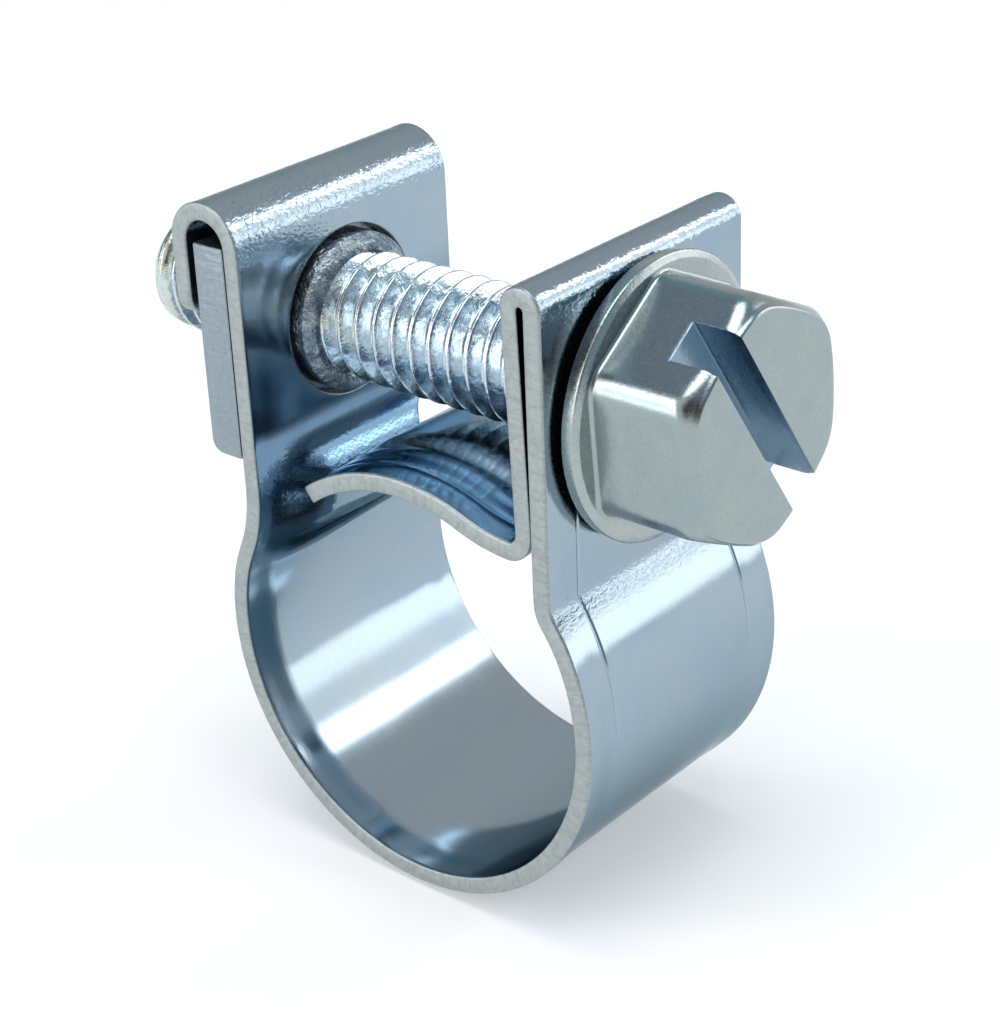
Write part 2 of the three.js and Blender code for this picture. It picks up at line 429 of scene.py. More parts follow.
def band_relief(s, y, n):
    """Tool lines, the tongue's raised middle and the slight waviness of formed sheet, in mm along the strip normal."""
    d = 0.0
    on_tongue = 1 - smooth01(s, marks["leaf0"] - 0.9, marks["leaf0"] + 0.1)
    on_bend = smooth01(s, marks["hole_outer"] + 1.4, marks["hole_outer"] + 2.4) * (1 - smooth01(s, marks["loop0"] + 2.2, marks["loop0"] + 4.6))
    if n > 0:
        d -= 0.030 * on_bend * math.exp(-(((abs(y) - MARK_Y) / 0.04) ** 2))
    if on_tongue > 0:
        # a long raised middle with a bead at its foot on each side, and a fine tool line outside it
        from_tip = smooth01(s, 0.15, 1.3)
        d += on_tongue * from_tip * (0.13 * smooth01(TONGUE_BEAD_Y - 0.2 - abs(y), 0.0, 0.9) + 0.05 * math.exp(-(((abs(y) - TONGUE_BEAD_Y) / 0.14) ** 2)))
        if n > 0:
            d -= on_tongue * 0.03 * math.exp(-(((abs(y) - TONGUE_MARK_Y) / 0.05) ** 2))
    edge = smooth01(W / 2 - abs(y), 0.0, 0.7)
    w = noise.noise(Vector((s * 0.33, y * 0.30, 3.1)))
    w2 = noise.noise(Vector((s * 0.9, y * 0.55, 8.7)))
    # the forming tool has pressed the foot of the nut-side ear inwards across its middle
    across = smooth01(4.65 - abs(y), 0.0, 2.9)
    d += (0.012 * w + 0.004 * w2) * edge
    # sheared edges roll over slightly on the outside of the strip
    roll = 1 - smooth01(W / 2 - abs(y), 0.0, 0.55)
    on_loop = smooth01(s, marks["loop0"] - 1.0, marks["loop0"] + 1.0) * (1 - smooth01(s, marks["loop1"] - 1.5, marks["loop1"] + 0.5))
    out = max(abs(y) - 3.35, 0.0)
    return d - press_depth(s - s_press) * across - 0.02 * roll + 0.078 * on_loop * out * out / (out + 0.2)


def map_strip(p3):
    out = np.empty_like(p3)
    cache = {}
    for i, (s, y, n) in enumerate(p3):
        k = round(s, 6)
        if k not in cache:
            cache[k] = path.at(s)
        x, z, h = cache[k]
        m = n + band_relief(s, y, n)
        out[i] = (x - math.sin(h) * m + LOOP_X, y, z + math.cos(h) * m + LOOP_Z)
    return out


def new_mesh(name, verts, faces, smooth=True):
    me = bpy.data.meshes.new(name)
    me.from_pydata([tuple(float(c) * MM for c in v) for v in verts], [], faces)
    me.update()
    if smooth:
        me.polygons.foreach_set("use_smooth", [True] * len(me.polygons))
    o = bpy.data.objects.new(name, me)
    bpy.context.scene.collection.objects.link(o)
    return o


band_xyz = map_strip(pts)
band = new_mesh("band_strip", band_xyz, band_faces)
band.data.polygons.foreach_set("material_index", band_wall)
a_s = band.data.attributes.new("strip_uv", "FLOAT_VECTOR", "POINT")
a_s.data.foreach_set("vector", (pts * 1.0).astype(np.float32).ravel())


def bend_mask(s):
    """1 on the tight bends and just beside them, where forming has roughened the skin."""
    best = 0.0
    for s0, length, _, _, _, k in path.parts:
        if abs(k) > 0.5:
            d = max(s0 - s, s - s0 - length, 0.0)
            best = max(best, 1 - smooth01(d, 0.05, 0.75))
    best = max(best, 0.40 * math.exp(-(((s - s_press - 0.6) / 0.9) ** 2)))
    return best


a_b = band.data.attributes.new("bend", "FLOAT", "POINT")
a_b.data.foreach_set("value", np.array([bend_mask(s) for s in pts[:, 0]], dtype=np.float32))
print("band", len(band.data.vertices), len(band.data.polygons))

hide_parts("band")
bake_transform(band)

# share of the nut's travel by length along the strip, from a loop that keeps its
# length and stays round while the ears close
w_s = [0.0, marks["shoulder_r"], marks["loop0"]]
w_w = [0.0, 0.0, 0.0]
loop_len = marks["loop1"] - marks["loop0"]


def closed_share(f):
    """x displacement of the point at fraction f of the loop per unit of ear travel."""
    d = 0.5
    a0 = rad(phi_r)
    half0 = LOOP_R * math.cos(a0)
    span0 = 2 * half0

    def shape(travel):
        length = loop_len
        want = (span0 - travel) / 2
        lo, hi = 4.0, 12.0
        for _ in range(60):
            r = (lo + hi) / 2
            # arc angle left for the loop when the half chord is `want`
            gap = 2 * math.asin(min(1.0, want / r))
            if r * (2 * math.pi - gap) > length:
                hi = r
            else:
                lo = r
        return r, math.asin(min(1.0, want / r)), want

    xs = []
    for t in (-d, d):
        r, g, want = shape(t)
        ang = math.pi / 2 - g - f * loop_len / r
        xs.append(r * math.cos(ang) - want)
    return (xs[1] - xs[0]) / (2 * d)


fr = np.linspace(0, 1, 41)
share = np.array([closed_share(f) for f in fr])
print("share", np.round(share[::5], 3))
share = (share - share[0]) / (share[-1] - share[0])
s_knots = np.concatenate([[0.0, marks["loop0"] - 1e-3], marks["loop0"] + fr * loop_len, [S_END]])
w_knots = np.concatenate([[0.0, 0.0], share, [1.0]])
weights = np.interp(pts[:, 0], s_knots, w_knots).astype(np.float32)

# ------------------------------------------------------------------ screw
PITCH, CREST_R, ROOT_R = 0.7, 1.95, 1.54
TIP_X, TIP_R, TIP_CH = -12.5, 1.42, 0.62
PLAIN_X, NECK_R = 4.75, 1.9
FL_X0, FL_X1, FL_R = 5.84, 6.36, 4.1
HEAD_X, HEAD_AF, HEAD_TURN, HEAD_END_R = 9.6, 6.65, 34.5, 3.30
SLOT_W, SLOT_D = 1.25, 1.42


def turned(profile, segments):
    """Closed body of revolution about the screw axis from [(x, r), ...]; ends on the axis."""
    verts, faces, rows = [], [], []
    for x, r in profile:
        if r < 1e-9:
            rows.append([len(verts)])
            verts.append((x, 0.0, 0.0))
        else:
            rows.append(list(range(len(verts), len(verts) + segments)))
            for j in range(segments):
                a = 2 * math.pi * j / segments
                verts.append((x, r * math.cos(a), r * math.sin(a)))
    for p, q in zip(rows, rows[1:]):
        for j in range(segments):
            k = (j + 1) % segments
            if len(p) == 1 and len(q) == 1:
                continue
            if len(p) == 1:
                faces.append([p[0], q[k], q[j]])
            elif len(q) == 1:
                faces.append([p[j], p[k], q[0]])
            else:
                faces.append([p[j], p[k], q[k], q[j]])
    return verts, faces


def round_profile(pts2, radius, steps=3):
    """Rounds the corners of an open (x, r) polyline that are off the axis."""
    out = [pts2[0]]
    for (p, c, n) in zip(pts2, pts2[1:], pts2[2:]):
        p, c, n = np.array(p), np.array(c), np.array(n)
        a, b = p - c, n - c
        la, lb = np.linalg.norm(a), np.linalg.norm(b)
        a, b = a / la, b / lb
        ang = math.acos(max(-1, min(1, a @ b)))
        cut = min(radius / math.tan(ang / 2), la * 0.45, lb * 0.45)
        s, e = c + a * cut, c + b * cut
        for k in range(steps + 1):
            t = k / steps
            q = (1 - t) ** 2 * s + 2 * t * (1 - t) * c + t * t * e
            out.append(tuple(q))
    out.append(pts2[-1])
    return out


def thread_profile():
    """(fraction of pitch, radius share) with rounded crest and root."""
    pts_ = []
    for f, r in ((0.0, 0.0), (0.06, -0.03), (0.19, -0.03), (0.25, 0.0), (0.30, 0.14), (0.53, 0.86), (0.565, 0.96), (0.60, 1.0), (0.65, 1.0), (0.685, 0.96), (0.72, 0.86), (0.95, 0.14)):
        pts_.append((f, ROOT_R + (CREST_R - ROOT_R) * r))
    return pts_


def shank_mesh():
    prof = thread_profile()
    seg = 72
    first = int(math.floor(TIP_X / PITCH)) - 2
    last = int(math.ceil(PLAIN_X / PITCH)) + 2
    x_end = FL_X0 + 0.15

    def envelope(x, r):
        top = TIP_R + (x - TIP_X) * (CREST_R + 0.02 - TIP_R) / TIP_CH
        pilot = smooth01(TIP_X + 1.05 - x, 0.0, 0.45)
        r = r + (CREST_R - 0.10 - r) * pilot
        r = min(r, top, CREST_R)
        low = ROOT_R - 0.1 + (NECK_R - ROOT_R + 0.1) * smooth01(x, PLAIN_X - 0.5, PLAIN_X + 0.25)
        return max(r, low) if x > PLAIN_X - 0.5 else r

    verts, faces, rows = [], [], []
    for k in range(first, last):
        for f, r in prof:
            row = []
            for j in range(seg):
                a = 2 * math.pi * j / seg
                x = (k + f + j / seg) * PITCH
                rr = r
                if x > x_end:
                    x, rr = x_end, NECK_R
                if x < TIP_X:
                    x = TIP_X
                rr = envelope(x, rr)
                row.append(len(verts))
                verts.append((x, rr * math.cos(a), rr * math.sin(a)))
            rows.append(row)
    m = len(prof)
    for i in range(len(rows) - 1):
        for j in range(seg - 1):
            faces.append([rows[i][j], rows[i][j + 1], rows[i + 1][j + 1], rows[i + 1][j]])
        if i + m + 1 < len(rows):
            faces.append([rows[i][-1], rows[i + m][0], rows[i + m + 1][0], rows[i + 1][-1]])
    return verts, faces


def clean_bm(verts, faces, dist=1e-5):
    bm = bmesh.new()
    vs = [bm.verts.new(v) for v in verts]
    for f in faces:
        if len(set(f)) >= 3:
            try:
                bm.faces.new([vs[i] for i in f])
            except ValueError:
                pass
    bmesh.ops.remove_doubles(bm, verts=bm.verts, dist=dist)
    bmesh.ops.dissolve_degenerate(bm, edges=bm.edges, dist=dist)
    return bm


def object_from_bm(name, bm, shift=(0, 0, 0), smooth=True):
    me = bpy.data.meshes.new(name)
    bmesh.ops.recalc_face_normals(bm, faces=bm.faces)
    bm.to_mesh(me)
    bm.free()
    me.transform(Matrix.Translation(Vector(shift)))
    me.transform(Matrix.Scale(MM, 4))
    if smooth:
        me.polygons.foreach_set("use_smooth", [True] * len(me.polygons))
    me.update()
    o = bpy.data.objects.new(name, me)
    bpy.context.scene.collection.objects.link(o)
    return o


def boolean(a, b, op):
    m = a.modifiers.new("b", "BOOLEAN")
    m.operation, m.solver, m.object = op, "EXACT", b
    apply_modifiers(a)
    bpy.data.objects.remove(b, do_unlink=True)
    return a


def apply_modifiers(o):
    dg = bpy.context.evaluated_depsgraph_get()
    me = bpy.data.meshes.new_from_object(o.evaluated_get(dg))
    old = o.data
    o.modifiers.clear()
    o.data = me
    bpy.data.meshes.remove(old)


def temp(name, verts, faces):
    me = bpy.data.meshes.new(name)
    me.from_pydata([tuple(v) for v in verts], [], faces)
    me.update()
    o = bpy.data.objects.new(name, me)
    bpy.context.scene.collection.objects.link(o)
    return o


def bevel_sharp(bm, offset, segments, angle=28.0):
    bm.normal_update()
    sharp = [e for e in bm.edges if len(e.link_faces) == 2 and e.calc_face_angle(0.0) > rad(angle)]
    bmesh.ops.bevel(bm, geom=sharp, offset=offset, offset_type="OFFSET", segments=segments, profile=0.55, affect="EDGES", clamp_overlap=True)


# head: hexagon with rounded corners, a rounded end chamfer, a fillet on to the
# flange, and the slot, in mm about the axis
def hex_section(corner_r, per_side=16, per_corner=8):
    a = HEAD_AF / 2
    inner = (a - corner_r) / math.cos(rad(30))
    pts_ = []
    for k in range(6):
        g = rad(HEAD_TURN + 60 * k)
        cy, cz = inner * math.cos(g), inner * math.sin(g)
        arc = [g + rad(-30 + 60 * i / per_corner) for i in range(per_corner + 1)]
        corner = [(cy + corner_r * math.cos(t), cz + corner_r * math.sin(t)) for t in arc]
        if pts_:
            p, q = pts_[-1], corner[0]
            pts_ += [(p[0] + (q[0] - p[0]) * i / per_side, p[1] + (q[1] - p[1]) * i / per_side) for i in range(1, per_side)]
        pts_ += corner
    p, q = pts_[-1], pts_[0]
    pts_ += [(p[0] + (q[0] - p[0]) * i / per_side, p[1] + (q[1] - p[1]) * i / per_side) for i in range(1, per_side)]
    return pts_


def soft_min(a, b, k):
    h = min(1.0, max(0.0, 0.5 + 0.5 * (b - a) / k))
    return b + (a - b) * h - k * h * (1 - h)


def head_object():
    section = hex_section(0.90)
    fillet = 0.13
    xs = [FL_X1 - 0.2, FL_X1 - 0.02]
    xs += [FL_X1 + fillet * (1 - math.cos(rad(90 * i / 6))) for i in range(7)]
    x_cham = HEAD_X - 1.25
    xs += [FL_X1 + fillet + (x_cham - FL_X1 - fillet) * i / 6 for i in range(1, 7)]
    xs += [x_cham + (HEAD_X - 0.10 - x_cham) * i / 16 for i in range(1, 17)]
    rows = []
    for x in xs:
        grow = 0.0
        if x < FL_X1 + fillet:
            u = min(1.0, max(0.0, (FL_X1 + fillet - x) / fillet))
            grow = fillet * (1 - math.sqrt(max(0.0, 1 - u * u)))
        cap = HEAD_END_R + 0.03 + (HEAD_X - x) / math.tan(rad(30))
        row = []
        for y, z in section:
            r = math.hypot(y, z)
            q = soft_min(r, cap, 0.80) + grow
            row.append((x, y / r * q, z / r * q))
        rows.append(row)
    edge = rows[-1]
    for turn_ in (30, 60, 90):
        c, sn = 1 - math.cos(rad(turn_)), math.sin(rad(turn_))
        row = []
        for x, y, z in edge:
            r = math.hypot(y, z)
            q = r - 0.10 * c
            row.append((HEAD_X - 0.10 * (1 - sn), y / r * q, z / r * q))
        rows.append(row)
    for f in (0.94, 0.86):
        rows.append([(HEAD_X, y * f, z * f) for x, y, z in rows[-1]])
    verts = [v for row in rows for v in row]
    n = len(section)
    faces = []
    for i in range(len(rows) - 1):
        for j in range(n):
            k = (j + 1) % n
            faces.append([i * n + j, i * n + k, (i + 1) * n + k, (i + 1) * n + j])
    faces.append(list(range(n))[::-1])
    faces.append([(len(rows) - 1) * n + j for j in range(n)])
    hexo = temp("hex", verts, faces)
    a = rad(HEAD_TURN + 90)
    u, w = (math.cos(a), math.sin(a)), (-math.sin(a), math.cos(a))
    bv = []
    for x in (HEAD_X - SLOT_D, HEAD_X + 1):
        for p, q in ((-6, -SLOT_W / 2), (6, -SLOT_W / 2), (6, SLOT_W / 2), (-6, SLOT_W / 2)):
            bv.append((x, p * u[0] + q * w[0], p * u[1] + q * w[1]))
    bf = [[3, 2, 1, 0], [4, 5, 6, 7], [0, 1, 5, 4], [1, 2, 6, 5], [2, 3, 7, 6], [3, 0, 4, 7]]
    boolean(hexo, temp("slot", bv, bf), "DIFFERENCE")
    bm = bmesh.new()
    bm.from_mesh(hexo.data)
    bpy.data.objects.remove(hexo, do_unlink=True)
    bmesh.ops.remove_doubles(bm, verts=bm.verts, dist=2e-4)
    bmesh.ops.recalc_face_normals(bm, faces=bm.faces)
    bm.normal_update()

    def on_slot(v):
        q = v.co.y * w[0] + v.co.z * w[1]
        wall = abs(abs(q) - SLOT_W / 2) < 1e-3 and v.co.x > HEAD_X - SLOT_D - 1e-3
        base = abs(v.co.x - HEAD_X + SLOT_D) < 1e-3 and abs(q) < SLOT_W / 2 + 1e-3
        return wall or base

    sharp = [e for e in bm.edges if len(e.link_faces) == 2 and on_slot(e.verts[0]) and on_slot(e.verts[1]) and e.calc_face_angle(0.0) > rad(35)]
    bmesh.ops.bevel(bm, geom=sharp, offset=0.045, offset_type="OFFSET", segments=2, profile=0.6, affect="EDGES", clamp_overlap=True)
    return bm


head_bm = head_object()
fl_prof = [(FL_X0 - 0.02, 0), (FL_X0 - 0.02, NECK_R - 0.3), (FL_X0, FL_R - 0.05), (FL_X1 - 0.1, FL_R), (FL_X1, FL_R - 0.22), (FL_X1, 0)]
fv, ff = turned(round_profile(fl_prof, 0.09, 4), 144)
sv, sf = shank_mesh()
sbm = clean_bm(sv, sf, 2e-5)


def join_bm(target, verts, faces):
    vs = [target.verts.new(v) for v in verts]
    for f in faces:
        if len(set(f)) >= 3:
            target.faces.new([vs[i] for i in f])


# close the shank's two open ends
edges = [e for e in sbm.edges if e.is_boundary]
bmesh.ops.holes_fill(sbm, edges=edges, sides=0)
screw_parts = []
shift = (LOOP_X, 0, LOOP_Z + SCREW_Z)
shank = object_from_bm("screw_shank", sbm, shift)
head = object_from_bm("screw_head", head_bm, shift, smooth=True)


def in_slot(c):
    """True for the walls and floor of the driver slot, from a face centre in the row frame."""
    a = rad(HEAD_TURN + 90)
    x, y, z = c.x / MM - LOOP_X, c.y / MM, c.z / MM - LOOP_Z - SCREW_Z
    q = -y * math.sin(a) + z * math.cos(a)
    return abs(q) < SLOT_W / 2 + 0.012 and HEAD_X - SLOT_D - 0.02 < x < HEAD_X - 0.03


flange_bm = clean_bm(fv, ff)
flange = object_from_bm("screw_flange", flange_bm, shift)
for o in (shank, head, flange):
    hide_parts("screw")
    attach(o, "screw_body")

# ------------------------------------------------------------------ nut
NUT_X0, NUT_X1, NUT_Z0, NUT_Z1, NUT_W, NUT_ROUND = -7.17, -5.98, 5.45, 12.0, 8.96, 0.42
COLLAR_R, COLLAR_X, COLLAR_CH = 2.42, -4.82, 0.28


def nut_object():
    r = NUT_ROUND
    out = [(NUT_X1, NUT_Z0), (NUT_X1, NUT_Z1), (NUT_X0, NUT_Z1), (NUT_X0, NUT_Z0 + r)]
    for i in range(1, 8):
        a = i / 8 * math.pi / 2
        out.append((NUT_X0 + r * (1 - math.cos(a)), NUT_Z0 + r * (1 - math.sin(a))))
    out.append((NUT_X0 + r, NUT_Z0))
    n = len(out)
    v = [(x, -NUT_W / 2, z - SCREW_Z) for x, z in out] + [(x, NUT_W / 2, z - SCREW_Z) for x, z in out]
    f = [list(range(n)), list(range(2 * n - 1, n - 1, -1))] + [[i, n + i, n + (i + 1) % n, (i + 1) % n] for i in range(n)]
    plate = temp("plate", v, f)
    bm = bmesh.new()
    bm.from_mesh(plate.data)
    bpy.data.objects.remove(plate, do_unlink=True)
    bmesh.ops.recalc_face_normals(bm, faces=bm.faces)
    bevel_sharp(bm, 0.07, 3, 40)
    me = bpy.data.meshes.new("plate")
    bm.to_mesh(me)
    bm.free()
    plate = bpy.data.objects.new("plate", me)
    bpy.context.scene.collection.objects.link(plate)
    bore_v, bore_f = turned([(NUT_X0 - 0.5, 0), (NUT_X0 - 0.5, CREST_R + 0.32), (NUT_X0 + 0.22, CREST_R - 0.05), (COLLAR_X + 0.1, CREST_R - 0.05), (COLLAR_X + 0.1, 0)], 96)
    cv, cf = turned(round_profile([(NUT_X0 + 0.3, 0), (NUT_X0 + 0.3, COLLAR_R), (COLLAR_X - COLLAR_CH, COLLAR_R), (COLLAR_X, COLLAR_R - COLLAR_CH), (COLLAR_X, 0)], 0.09, 4), 96)
    boolean(plate, temp("collar", cv, cf), "UNION")
    boolean(plate, temp("bore", bore_v, bore_f), "DIFFERENCE")
    bm = bmesh.new()
    bm.from_mesh(plate.data)
    bpy.data.objects.remove(plate, do_unlink=True)
    return bm


nut = object_from_bm("nut_plate", nut_object(), shift)
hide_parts("nut")
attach(nut, "nut_body")


def sharpen(o, angle=32):
    """Keeps crisp edges where faces meet steeply, smooth elsewhere."""
    bm = bmesh.new()
    bm.from_mesh(o.data)
    for e in bm.edges:
        if len(e.link_faces) == 2 and e.calc_face_angle(0.0) > rad(angle):
            e.smooth = False
    bm.to_mesh(o.data)
    bm.free()


for o in (head, nut):
    sharpen(o)


# ------------------------------------------------------------------ materials
def node_tree(name):
    m = bpy.data.materials.new(name)
    m.use_nodes = True
    nt = m.node_tree
    b = nt.nodes["Principled BSDF"]
    return m, nt, b


def add(nt, kind, **inputs):
    n = nt.nodes.new(kind)
    for k, v in inputs.items():
        if k.startswith("_"):
            setattr(n, k[1:], v)
        else:
            n.inputs[k.replace("__", " ")].default_value = v
    return n


class Mat:
    """A metallic Principled material with its coordinates in millimetres."""

    def __init__(self, name, attribute=None):
        self.m, self.nt, self.b = node_tree(name)
        self.link = self.nt.links.new
        self.b.inputs["Metallic"].default_value = 1.0
        if attribute:
            self.co = add(self.nt, "ShaderNodeAttribute", _attribute_name=attribute).outputs["Vector"]
        else:
            tc = add(self.nt, "ShaderNodeTexCoord")
            sc = add(self.nt, "ShaderNodeVectorMath", _operation="SCALE")
            sc.inputs["Scale"].default_value = 1000.0
            self.link(tc.outputs["Object"], sc.inputs[0])
            self.co = sc.outputs[0]

    def noise(self, scale, detail=3.0, rough=0.55, stretch=None, distort=0.0):
        co = self.co
        if stretch:
            mp = add(self.nt, "ShaderNodeMapping")
            mp.inputs["Scale"].default_value = stretch
            self.link(co, mp.inputs["Vector"])
            co = mp.outputs[0]
        n = add(self.nt, "ShaderNodeTexNoise", Scale=scale, Detail=detail, Roughness=rough, Distortion=distort)
        self.link(co, n.inputs["Vector"])
        return n.outputs["Fac"]

    def ramp(self, value, a, b, lo=0.0, hi=1.0):
        r = add(self.nt, "ShaderNodeMapRange")
        for k, v in (("From Min", a), ("From Max", b), ("To Min", lo), ("To Max", hi)):
            r.inputs[k].default_value = v
        self.link(value, r.inputs["Value"])
        return r.outputs[0]

    def math(self, op, a, b=None):
        n = add(self.nt, "ShaderNodeMath", _operation=op)
        for i, v in enumerate((a, b)):
            if v is None:
                continue
            if isinstance(v, (int, float)):
                n.inputs[i].default_value = v
            else:
                self.link(v, n.inputs[i])
        return n.outputs[0]

    def mix(self, fac, a, b, blend="MIX"):
        n = add(self.nt, "ShaderNodeMix", _data_type="RGBA", _blend_type=blend)
        for i, v in ((0, fac), (6, a), (7, b)):
            if isinstance(v, tuple):
                n.inputs[i].default_value = (*v, 1)
            elif isinstance(v, (int, float)):
                n.inputs[i].default_value = v
            else:
                self.link(v, n.inputs[i])
        return n.outputs[2]

    def bump(self, height, strength, distance_mm, normal=None):
        n = add(self.nt, "ShaderNodeBump", Strength=1.0, Distance=distance_mm * MM)
        if isinstance(strength, (int, float)):
            n.inputs["Strength"].default_value = strength
        else:
            self.link(strength, n.inputs["Strength"])
        self.link(height, n.inputs["Height"])
        if normal:
            self.link(normal, n.inputs["Normal"])
        return n.outputs[0]

    def attr(self, name):
        return add(self.nt, "ShaderNodeAttribute", _attribute_name=name).outputs["Fac"]

    def out(self, colour=None, rough=None, normal=None):
        for key, v in (("Base Color", colour), ("Roughness", rough), ("Normal", normal)):
            if v is not None:
                self.link(v, self.b.inputs[key])
        return self.m


# rolled strip face: blue-passivated zinc, glossy, faint cloudiness, rougher skin on bends
t = Mat("zinc_band_face", "strip_uv")
cloud = t.noise(0.45, 3.0, 0.6)
fine = t.noise(9.0, 4.0, 0.65, (0.35, 1.4, 1.0))
peel = t.noise(7.0, 2.0, 0.5, (1.3, 0.8, 1.0), 0.4)
bend = t.attr("bend")
col = t.mix(t.ramp(cloud, 0.35, 0.65), (0.335, 0.425, 0.500), (0.365, 0.435, 0.485))
col = t.mix(t.ramp(fine, 0.35, 0.75, 0.0, 0.16), col, (0.22, 0.29, 0.36))
# painted shade: the band colour is multiplied to a deeper blue between the ears, on the nut-side ear's foot and
# along the tongue's sides, standing in for the darker blue of light bounced back and forth between the parts
along = add(t.nt, "ShaderNodeSeparateXYZ")
t.link(t.co, along.inputs[0])
u_s, u_y, u_n = along.outputs["X"], along.outputs["Y"], along.outputs["Z"]
painted_shade_ear = t.math("MULTIPLY", t.ramp(u_s, marks["ear_l"] - 1.3, marks["ear_l"] - 0.2), t.ramp(u_s, marks["hole_left"] + 0.9, marks["hole_left"] - 0.9))
painted_shade_ear = t.math("MULTIPLY", painted_shade_ear, t.ramp(u_n, 0.05, -0.05))
painted_shade_tongue = t.math("MULTIPLY", t.ramp(u_s, marks["leaf0"] + 0.2, marks["leaf0"] - 0.8), t.ramp(t.math("ABSOLUTE", u_y), 2.2, 2.9))
painted_shade_tongue = t.math("MULTIPLY", painted_shade_tongue, t.ramp(u_n, -0.05, 0.05))
painted_shade = t.math("MULTIPLY", t.math("MAXIMUM", painted_shade_ear, painted_shade_tongue), t.ramp(cloud, 0.3, 0.7, 0.85, 1.0))
# painted shade: the band colour is multiplied towards deep blue inside this mask
col = t.mix(painted_shade, col, (0.42, 0.60, 0.78), "MULTIPLY")
rough = t.math("ADD", t.ramp(cloud, 0.3, 0.7, 0.105, 0.15), t.math("MULTIPLY", bend, t.ramp(peel, 0.3, 0.7, 0.0, 0.07)))
nrm = t.bump(fine, 0.10, 0.010)
nrm = t.bump(peel, t.math("MULTIPLY", bend, 0.75), 0.030, nrm)
m_band = t.out(col, rough, nrm)
# painted shade: the edge tint of the reflections is also turned bluer inside the same mask
t.link(t.mix(painted_shade, (0.52, 0.60, 0.62), (0.30, 0.45, 0.56)), t.b.inputs["Specular Tint"])

# sheared strip edge: matte, grey-beige, with fine burnish and fracture streaks
t = Mat("zinc_band_edge", "strip_uv")
grit = t.noise(7.0, 5.0, 0.7)
streak = t.noise(4.0, 4.0, 0.6, (2.2, 0.3, 0.6))
col = t.mix(t.ramp(grit, 0.32, 0.68), (0.31, 0.350, 0.352), (0.44, 0.475, 0.465))
col = t.mix(t.ramp(streak, 0.45, 0.75, 0.0, 0.45), col, (0.22, 0.25, 0.26))
rough = t.ramp(grit, 0.3, 0.7, 0.34, 0.55)
m_edge = t.out(col, rough, t.bump(grit, 0.55, 0.035))
band.data.materials.append(m_band)
band.data.materials.append(m_edge)

# nut plate: duller zinc with shear ripples across its cut sides
t = Mat("zinc_nut_face")
grit = t.noise(6.0, 4.0, 0.65)
ripple = t.noise(2.2, 2.0, 0.5, (0.4, 0.25, 2.6), 0.3)
col = t.mix(t.ramp(grit, 0.3, 0.7), (0.25, 0.31, 0.35), (0.32, 0.37, 0.40))
rough = t.ramp(ripple, 0.3, 0.7, 0.26, 0.40)
nrm = t.bump(ripple, 0.25, 0.12, t.bump(grit, 0.4, 0.02))
m_nut = t.out(col, rough, nrm)
nut.data.materials.append(m_nut)

# rolled thread: bright and mottled, with a faint yellow cast near the nut
t = Mat("zinc_thread")
blot = t.noise(1.1, 4.0, 0.6)
grit = t.noise(5.5, 5.0, 0.7)
lump = t.noise(2.2, 3.0, 0.55)
axis = add(t.nt, "ShaderNodeSeparateXYZ")
t.link(t.co, axis.inputs[0])
near = t.ramp(axis.outputs["X"], -4.2, -1.2, 0.75, 0.10)
col = t.mix(t.math("MULTIPLY", t.ramp(blot, 0.45, 0.62), near), (0.60, 0.69, 0.75), (0.60, 0.60, 0.42))
col = t.mix(t.ramp(grit, 0.54, 0.76, 0.0, 0.60), col, (0.20, 0.27, 0.33))
rough = t.ramp(grit, 0.3, 0.7, 0.07, 0.21)
nrm = t.bump(lump, 0.38, 0.12, t.bump(grit, 0.35, 0.035))
m_thread = t.out(col, rough, nrm)

# drawn collar: burnished unevenly where the punch dragged the metal
t = Mat("zinc_collar")
blot = t.noise(1.6, 4.0, 0.65)
grit = t.noise(5.0, 5.0, 0.7)
col = t.mix(t.ramp(blot, 0.40, 0.60), (0.13, 0.18, 0.23), (0.38, 0.43, 0.46))
col = t.mix(t.ramp(grit, 0.52, 0.72, 0.0, 0.7), col, (0.16, 0.18, 0.19))
rough = t.ramp(grit, 0.3, 0.7, 0.16, 0.36)
m_collar = t.out(col, rough, t.bump(blot, 0.8, 0.22, t.bump(grit, 0.6, 0.06)))
nut.data.materials.append(m_collar)
for poly in nut.data.polygons:
    if poly.center.x / MM - LOOP_X > NUT_X1 + 0.03:
        poly.material_index = 1

# cold-formed head: satin zinc, fine even grain
t = Mat("zinc_head")
cloud = t.noise(0.9, 3.0, 0.55)
grain = t.noise(9.0, 4.0, 0.7)
wave = t.noise(0.8, 2.0, 0.5)
col = t.mix(t.ramp(cloud, 0.35, 0.65), (0.315, 0.385, 0.390), (0.350, 0.400, 0.385))
col = t.mix(t.ramp(grain, 0.4, 0.75, 0.0, 0.30), col, (0.23, 0.28, 0.31))
rough = t.ramp(grain, 0.3, 0.7, 0.17, 0.29)
nrm = t.bump(grain, 0.30, 0.016, t.bump(wave, 0.10, 0.10))
m_head = t.out(col, rough, nrm)

# milled slot: smoother and bluer than the formed head, with fine cutter lines
t = Mat("zinc_slot")
lines = t.noise(7.0, 3.0, 0.6, (2.6, 0.5, 0.5))
cloud = t.noise(1.0, 3.0, 0.6)
col = t.mix(t.ramp(cloud, 0.35, 0.65), (0.25, 0.36, 0.45), (0.29, 0.38, 0.45))
m_slot = t.out(col, t.ramp(lines, 0.3, 0.7, 0.16, 0.28), t.bump(lines, 0.35, 0.02))

